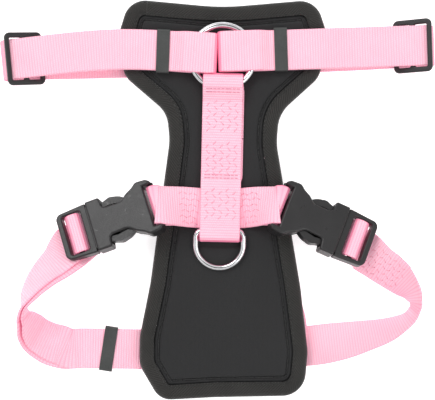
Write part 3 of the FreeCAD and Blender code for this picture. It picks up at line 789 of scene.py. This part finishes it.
def tape(name):
    """The folded tape: puckered by its stitches, wandering a little, thicker where it laps."""
    lap_reach, lap_thick, stitch_pitch, fold_at = 9.0, 0.45, 3.4, 9.0
    points, uvs = [], []
    draw = random.Random(21)
    slow, quick = draw.uniform(0, math.tau), draw.uniform(0, math.tau)
    travel = lengths_along([p for p, n in edge_samples])
    for (p, inward), travelled in zip(edge_samples, travel):
        lap = lap_thick * max(0.0, min(1.0, (lap_reach - (p - OVERLAP).length) / 0.7))
        pucker = 0.5 + 0.5 * math.sin(travelled * math.tau / stitch_pitch)
        drift = 0.18 * math.sin(travelled / 23 + slow) + 0.12 * math.sin(travelled / 9 + quick)
        around, before = 0.0, TAPE_RING[0]
        for inset, height in TAPE_RING:
            around += math.dist((inset, height), before)
            before = (inset, height)
            rise = height - TAPE_MIDDLE
            share = 1 - 0.035 * pucker * math.exp(-((inset - 7.9) / 1.2) ** 2)
            push = lap * (1 if abs(rise) > 2.2 else 0.3) * (1 if inset < BINDING else 0.4)
            place = p + inward * (inset + drift * inset / BINDING)
            points.append((*place, TAPE_MIDDLE + rise * share + math.copysign(push, rise)))
            uvs.append((travelled * MM, (around - fold_at) * MM))
    count = len(edge_samples)
    return new_object(name, points, tube_faces(count, len(TAPE_RING), closed=True), uvs=uvs)


def seam(inset, height, up):
    """The line of a seam round the plate, its end joined to its start."""
    line = [(Vector((*(p + n * inset), height)), n.to_3d(), up) for p, n in edge_samples]
    return line + line[:1]


dress(tape("binding_tape"), TWILL, "root", ["edge_binding"])

stitches = ([], [])
for line, gap, length in ((seam(TAPE_SEAM, 9.42, UP), 3.2, 2.3),
                          (seam(TAPE_SEAM, 3.78, -UP), 3.2, 2.3),
                          (seam(SECOND_SEAM, PAD_HIGH - 1.0, UP), 3.0, 2.6)):
    stitch_row(*stitches, line, gap, length)
dress(new_object("binding_stitches", *stitches), BLACK_THREAD)


# ---------------------------------------------------------------- rings and the spine strap

# Heights below are of the middle of a layer of webbing.
SPINE = (Matrix.Translation((SPINE_X, SPINE_Y, 0))
         @ Matrix.Rotation(math.radians(90 - SPINE_LEAN), 4, "Z"))
BASE, HUMP = 9.65, 11.45                # the pad's face, and the cross strap's where it is crossed
UNDER_MID, UPPER_MID = BASE + THICK / 2, BASE + THICK * 1.5
HUMP_LOW, HUMP_HIGH = HUMP + THICK / 2, HUMP + THICK * 1.5
RING_MID, RING_WIRE = 14.7, 1.875 + 0.25            # the front ring's plane; its wire and some air
OVER_RING = RING_MID + RING_WIRE + THICK / 2
DEE_MID, DEE_WIRE = 14.0, 2.7                       # the same for the leash ring
DEE_TOP, DEE_LOW = DEE_MID + DEE_WIRE + THICK / 2, DEE_MID - DEE_WIRE - THICK / 2

# Along the strap from its lower end: length, height and the round of each corner.
spine_path = [
    (58.0, UNDER_MID, 0), (97.2, UNDER_MID, 3.2), (97.2, OVER_RING, 3.2), (90.5, OVER_RING, 4),
    (81.0, UPPER_MID + 0.1, 4), (66.0, UPPER_MID, 9), (37.5, UPPER_MID, 12),
    (28.5, HUMP_HIGH, 12), (8.0, HUMP_HIGH, 12), (1.6, DEE_TOP, 4), (-5.8, DEE_TOP, 2.85),
    (-5.8, DEE_LOW, 2.85), (0.6, DEE_LOW, 4), (3.4, HUMP_LOW, 4), (27.5, HUMP_LOW, 6),
    (35.0, UNDER_MID, 6), (57.5, UNDER_MID, 0),
]


def spine_frames():
    """The under layer shows as a sliver beyond the right edge of the upper one."""
    frames = []
    for centre, across, normal in side_profile(spine_path, SPINE):
        under = smooth(11.6 - centre.z, 0.0, 0.8)
        reach = smooth(centre.y, 6.0, 16.0) * (1 - smooth(centre.y, 66.0, 76.0))
        frames.append((centre - across * float(0.9 * under * reach), across, normal))
    return frames


spine = spine_frames()
dress(webbing("spine_webbing", spine), PINK, "root", ["spine_strap"])
for name, low, high in (("spine_high", 42.0, 62.5), ("spine_middle", 15.0, 37.0),
                        ("spine_low", -11.0, 8.0)):
    run = between(spine, lambda c: low < c.y < high and c.z > 11.7)
    sew(name, run, [4.3 * k for k in range(-2, 3)], 3.9, 2.3, 0.9, -1)
rows = ([], [])
on_top = [f for f in spine if f[0].z > 11]
for level in (69.2, 67.2, 15.4, 13.4, 11.4):
    centre, across, normal = min(on_top, key=lambda f: abs(f[0].y - level))
    line = [(centre + across * (0.5 * k) - normal * (THICK / 2 + SKIM), across, -normal)
            for k in range(-22, 23)]
    stitch_row(*rows, line, 2.4, 1.9)
dress(new_object("spine_cross_stitches", *rows), DEEP_THREAD_AND_HOLE_SHADE)
finish_cad("front_o_ring", CHROME)
finish_cad("leash_d_ring", CHROME)


# ---------------------------------------------------------------- buckles, sliders, keepers

# Each buckle's origin, and its turn, pitch and roll in degrees.
BUCKLES = {
    "left": (Vector((-76.9, -17.6, 15.2)), 20.0, 6.0, -17.0),
    "right": (Vector((75.8, -20.3, 15.2)), 156.0, 6.0, 17.0),
}
BAR_PLACE = 42.2                        # from the origin to the female half's webbing bar


def buckle_place(side):
    mouth, turn, pitch, roll = BUCKLES[side]
    return (Matrix.Translation(mouth) @ Matrix.Rotation(math.radians(turn), 4, "Z")
            @ Matrix.Rotation(math.radians(-pitch), 4, "Y")
            @ Matrix.Rotation(math.radians(roll), 4, "X"))


for side in ("left", "right"):
    for part in ("buckle_female", "buckle_male", "buckle_upper_prong", "buckle_lower_prong",
                 "slider"):
        finish_cad("%s_%s" % (side, part), PLASTIC)
    finish_cad(side + "_neck_keeper", KEEPER)
finish_cad("girth_keeper", KEEPER)


# ---------------------------------------------------------------- cross strap

CROSS_EDGE = 13.5                       # where the strap lies flat, from the spine strap's middle
AROUND_BAR = 1.6 + 0.3 + THICK / 2      # from the bar's axis to the middle of the webbing round it
LAYER_GAP = 1.75                        # between the middles of two layers that lie together
TAIL_END, TAIL_MEETS = 0.62, 0.35       # shares of the way from the bar to the plate


def cross_half(side):
    """Stations from the sewn tail, round a female half's webbing bar and down to the plate."""
    place = buckle_place(side)
    turn = place.to_3x3()
    sense = 1 if side == "left" else -1
    across = turn @ Vector((0, sense, 0))
    up = turn @ Vector((0, 0, 1))
    top = place @ Vector((BAR_PLACE, 0, AROUND_BAR))
    inner = Vector((2.0 - sense * CROSS_EDGE, CROSS_Y, UNDER_MID))
    upper, tail = [], []
    for k in range(25):
        t = k / 24
        ease = t * t * (3 - 2 * t)
        centre = top.lerp(inner, t)
        centre.z = top.z + (inner.z - top.z) * ease
        side_way, normal = across.lerp(Vector((0, 1, 0)), ease), up.lerp(UP, ease)
        upper.append((centre, side_way, normal))
        if t <= TAIL_END:
            gap = 2 * AROUND_BAR + (LAYER_GAP - 2 * AROUND_BAR) * min(1, t / TAIL_MEETS)
            tail.append((centre - normal * gap, side_way, -normal))
    loop = []
    for k in range(1, 12):
        a = math.pi * k / 12
        out = Vector((-math.sin(a), 0, -math.cos(a)))
        loop.append((place @ (Vector((BAR_PLACE, 0, 0)) + out * AROUND_BAR), across, turn @ out))
    return tail[::-1] + loop + upper


cross_left, cross_right = cross_half("left"), cross_half("right")
cross_middle = [(Vector((x, CROSS_Y, UNDER_MID)), Vector((0, 1, 0)), UP)
                for x in (-8, -4, 0, 4, 8, 12)]
cross = layers_between(cross_left + cross_middle + cross_right[::-1])
dress(webbing("cross_webbing", cross), PINK, "root", ["cross_strap"])
for name, low, high in (("cross_left", -27.5, -11.5), ("cross_right", 14.0, 28.0)):
    run = between(cross, lambda c: low < c.x < high and c.z < 16 and c.y > -40)
    facing_up = [f for f in run if f[2].z > 0.5]
    sew(name, facing_up, [-9.6, -6.0, -2.4, 1.2, 4.8, 8.4], 3.2, 2.0, 0.5)


# ---------------------------------------------------------------- neck straps

# Middles of the under layer, of the upper one in the keeper and of webbing on the floor.
UNDER_LAYER = 11.65
KEEPER_LAYER = UNDER_LAYER + THICK + 0.2
FLOOR_LAYER = THICK / 2

# Each strap's line seen from above, then along it: where its slider crosses it, its height there,
# and where the front ring's outer edge is.
NECK = {
    "left": ([(-0.1, 90.6), (-64.0, 93.4), (-134.9, 86.7)], 125.0, 12.8, 20.1),
    "right": ([(0.3, 91.7), (135.5, 96.4)], 126.3, 12.3, 25.6),
}


def neck_profile(side):
    """From the end of the under layer, in to the ring, round it, out and down to the floor."""
    plan, crossing, height, ring_edge = NECK[side]
    length = sum(math.dist(a, b) for a, b in zip(plan, plan[1:]))
    tail, settled = 84.0, ring_edge + 6.5
    slope = (height - KEEPER_LAYER) / (crossing - settled)
    fold = (height - FLOOR_LAYER) / 2 - 0.02
    end = length - THICK / 2
    loop = (OVER_RING - UNDER_LAYER) / 2 - 0.02
    return [
        (tail, UNDER_LAYER + slope * (tail - settled), 0), (settled, UNDER_LAYER, 40),
        (THICK / 2, UNDER_LAYER, loop), (THICK / 2, OVER_RING, loop), (ring_edge, OVER_RING, 6),
        (settled, KEEPER_LAYER, 8), (end, height + slope * (end - crossing), fold),
        (end, FLOOR_LAYER, fold), (end - 14, FLOOR_LAYER, 0),
    ]


neck_frames = {}
for side in ("left", "right"):
    neck_frames[side] = hung(NECK[side][0], neck_profile(side))
    dress(webbing("neck_webbing_" + side, neck_frames[side]), PINK, "root",
          ["neck_strap_" + side])
left_end, right_end = neck_frames["left"][-1], neck_frames["right"][-1]
back = [left_end[0] + Vector((0.3, 0, 0)), Vector((-60, 89.5, FLOOR_LAYER)),
        Vector((60, 93.0, FLOOR_LAYER)), right_end[0] - Vector((0.3, 0, 0))]
dress(webbing("neck_webbing_back", layers_between([(p, Vector((0, 1, 0)), UP) for p in back])),
      PINK, "root", ["neck_strap_back"])


# ---------------------------------------------------------------- girth and chest straps

# From each adjuster: x, y, the bank of the webbing's width from flat, and its lift.
# The left strap is double: its free end runs on top to the bend and outside from there.
LEFT_END = [
    (-98.0, -35.2, 36, 4.6), (-106.4, -43.0, 49, 4.2), (-112.9, -50.2, 58, 3.6),
    (-118.0, -57.9, 68, 3.0), (-120.7, -64.5, 79, 2.6), (-121.1, -70.6, 91, 2.6),
    (-120.3, -74.8, 101, 2.2), (-118.0, -80.4, 118, 1.2), (-113.4, -85.9, 134, 0.3),
    (-105.6, -90.8, 148, 0.2), (-98.6, -93.0, 160, 0.2), (-94.4, -93.7, 170, 0.1),
    (-90.6, -93.6, 177, 0),
]
LEFT_START = [(-81.0, -22.8, 6, 2.4), (-87.6, -29.6, 18, 3.0)]
LEFT_REST = [(-86.4, -93.4, 180, 1.0), (-80.0, -93.4, 180, 1.0), (-52.0, -93.9, 180, 1.0),
             (-42.0, -94.1, 180, 0), (6.0, -93.6, 180, 0)]
RIGHT_GIRTH = [
    (99.4, -38.4, 156, 3.4), (106.8, -43.9, 147, 3.4), (113.7, -49.8, 135, 3.0),
    (119.4, -56.3, 116, 2.2), (122.2, -62.6, 101, 1.6), (122.5, -66.8, 94, 1.2),
    (121.2, -70.0, 96, 1.0), (118.3, -73.6, 99, 0.8), (112.7, -77.2, 107, 0.6),
    (104.6, -81.0, 118, 0.4), (92.4, -84.5, 131, 0.2), (77.5, -88.2, 150, 0), (57.0, -92.0, 178, 0),
    (38.0, -93.2, 180, 0), (6.3, -93.6, 180, 0),
]
# Through an adjuster, in its buckle's frame: x and height.
ADJUSTER_ROUTE = [(-5.9, -4.4), (-6.6, 0.5), (-8.0, 2.9), (-10.6, 3.35), (-13.2, 2.9),
                  (-14.7, 0.5), (-15.2, -6.4)]


def girth_stations(route, inner_side):
    """Stations of webbing that stands on the floor, banked; inner_side is 1 or -1."""
    stations = []
    for i, (x, y, bank, lift) in enumerate(route):
        before, after = beside(route, i)
        heading = Vector((after[0] - before[0], after[1] - before[1], 0)).normalized()
        inward = Vector((-heading.y, heading.x, 0)) * inner_side
        angle = math.radians(bank)
        across = inward * math.cos(angle) + UP * math.sin(angle)
        centre = Vector((x, y, FLOOR_LAYER + WIDTH / 2 * math.sin(angle) + lift))
        stations.append((centre, across, heading.cross(across) * inner_side))
    return stations


def adjuster_stations(side, inner_side):
    """Stations of the webbing's way through the buckle's adjuster."""
    place = buckle_place(side)
    turn = place.to_3x3()
    across = turn @ Vector((0, -inner_side, 0))
    stations = []
    for i, (x, z) in enumerate(ADJUSTER_ROUTE):
        before, after = beside(ADJUSTER_ROUTE, i)
        run = Vector((after[0] - before[0], 0, after[1] - before[1])).normalized()
        stations.append((place @ Vector((x, 0, z)), across, turn @ Vector((run.z, 0, -run.x))))
    return stations


def beneath(route, stations):
    """The layer under the left strap's free end: further in before the bend and after it."""
    further_before, further_after, stand_off = 4.0, 2.4, 1.8
    found = []
    for (x, y, bank, lift), (centre, across, normal) in zip(route, stations):
        level, steep = math.cos(math.radians(bank)), math.sin(math.radians(bank))
        fade = 1 - float(smooth(x, -102.0, -90.6)) if bank > 90 else 1
        aside = level * (further_before if level > 0 else further_after) * fade
        stand = LAYER_GAP + stand_off * steep ** 3 * float(smooth(bank, 80, 116))
        found.append((centre + across * aside - normal * stand, across, normal))
    return found


left_end = girth_stations(LEFT_END, 1)
left_strap = (girth_stations(LEFT_START, 1) + beneath(LEFT_END, left_end)
              + girth_stations(LEFT_REST, 1))
right_turned = [(c, -a, -n) for c, a, n in adjuster_stations("right", -1)]
girth_frames = {
    "left_end": ("left", layers_between(adjuster_stations("left", 1) + left_end)),
    "left": ("left", layers_between(left_strap)),
    "right": ("right", layers_between(right_turned + girth_stations(RIGHT_GIRTH, -1))),
}

# The right strap's sewn lap: a second layer over its first stretch.
lap = [f for f in girth_frames["right"][1] if f[0].x > 92 and -49.5 < f[0].y < -33 and f[0].z < 16]
girth_frames["right_lap"] = ("right", [(c - a * 0.7 + n * LAYER_GAP, a, n) for c, a, n in lap])
GIRTH_NODES = {"left": ["girth_strap"], "left_end": ["left_girth_strap_end"],
               "right": ["right_girth_strap_end"], "right_lap": []}


def follow_male(piece):
    """Bake the piece's placement into its mesh."""
    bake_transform(piece)


for name, (side, frames) in girth_frames.items():
    strap = webbing("girth_webbing_" + name, frames)
    follow_male(dress(strap, PINK, None, GIRTH_NODES[name]))
for piece in sew("right_lap", lap[2:-2], [-8.4, -4.2, 0, 4.2, 8.4], 3.4, 1.8, 0.7, -1, None):
    follow_male(piece)

CHEST_LINE = [(1.6, 98.0), (31.0, -40.0), (43.2, -76.0), (42.0, -99.0)]
CHEST_END = 2.5                         # its ends lie over the neck strap and the girth
chest_path = [(0, CHEST_END, 0), (26, CHEST_END, 20), (42, FLOOR_LAYER, 20),
              (159.4, FLOOR_LAYER, 20), (175.4, CHEST_END, 20), (201.3, CHEST_END, 0)]
dress(webbing("chest_webbing", hung(CHEST_LINE, chest_path)), PINK, "root",
      ["chest_strap"])


# ---------------------------------------------------------------- surroundings

FLOOR_SIZE, FLOOR_DEPTH = 3000, -2.5    # from its middle to its edges, and below the harness
CAMERA_HEIGHT = 0.763                   # metres


def white_floor():
    """White paper, lit from within so that it stays white."""
    f = Finish("floor_paper", 0.9, Specular_IOR_Level=0.1, Emission_Color=(1, 1, 1, 1),
               Emission_Strength=0.6)
    fibre = f.noise(300.0, 3.0, 0.3, 0.7)
    f.set("Base Color", f.mix(fibre, (0.97, 0.97, 0.97, 1), (0.95, 0.95, 0.95, 1)))
    corners = [(x * FLOOR_SIZE, y * FLOOR_SIZE, FLOOR_DEPTH)
               for x, y in ((-1, -1), (1, -1), (1, 1), (-1, 1))]
    floor = new_object("floor", corners, [(0, 1, 2, 3)], smooth=False)
    floor.data.materials.append(f.material)


def studio():
    """White surroundings, darker at the horizon and straight overhead, and two large soft lamps."""
    world = bpy.data.worlds.new("studio")
    bpy.context.scene.world = world
    world.use_nodes = True
    tree = world.node_tree
    background = tree.nodes["Background"]
    coordinates = tree.nodes.new("ShaderNodeTexCoord")
    split = tree.nodes.new("ShaderNodeSeparateXYZ")
    ramp = tree.nodes.new("ShaderNodeValToRGB")
    tree.links.new(coordinates.outputs["Generated"], split.inputs[0])
    tree.links.new(split.outputs[2], ramp.inputs[0])
    tree.links.new(ramp.outputs[0], background.inputs[0])
    stops = ((0.02, 0.30), (0.5, 1.0), (0.93, 1.0), (0.965, 0.12))
    elements = ramp.color_ramp.elements
    for k, (place, level) in enumerate(stops):
        stop = elements[k] if k < 2 else elements.new(place)
        stop.position, stop.color = place, (level, level, level, 1)
    background.inputs["Strength"].default_value = 0.85
    for name, place, size, power in (("key", (-0.7, 0.9, 1.3), 0.9, 12.0),
                                     ("fill", (0.9, -0.5, 1.4), 1.2, 8.0)):
        light = bpy.data.lights.new(name, "AREA")
        light.size, light.energy = size, power
        lamp = bpy.data.objects.new(name, light)
        bpy.context.scene.collection.objects.link(lamp)
        lamp.location = place
        lamp.rotation_mode = "QUATERNION"
        lamp.rotation_quaternion = (-Vector(place)).to_track_quat("-Z", "Y")


def camera():
    """Straight above the harness."""
    lens = bpy.data.cameras.new("camera")
    lens.lens, lens.sensor_width = 100.0, 36.0
    lens.clip_start, lens.clip_end = 0.05, 20
    seen = bpy.data.objects.new("camera", lens)
    bpy.context.scene.collection.objects.link(seen)
    seen.location = (0, 0, CAMERA_HEIGHT)
    bpy.context.scene.camera = seen


white_floor()
studio()
camera()
bpy.context.scene.view_settings.view_transform = "Standard"
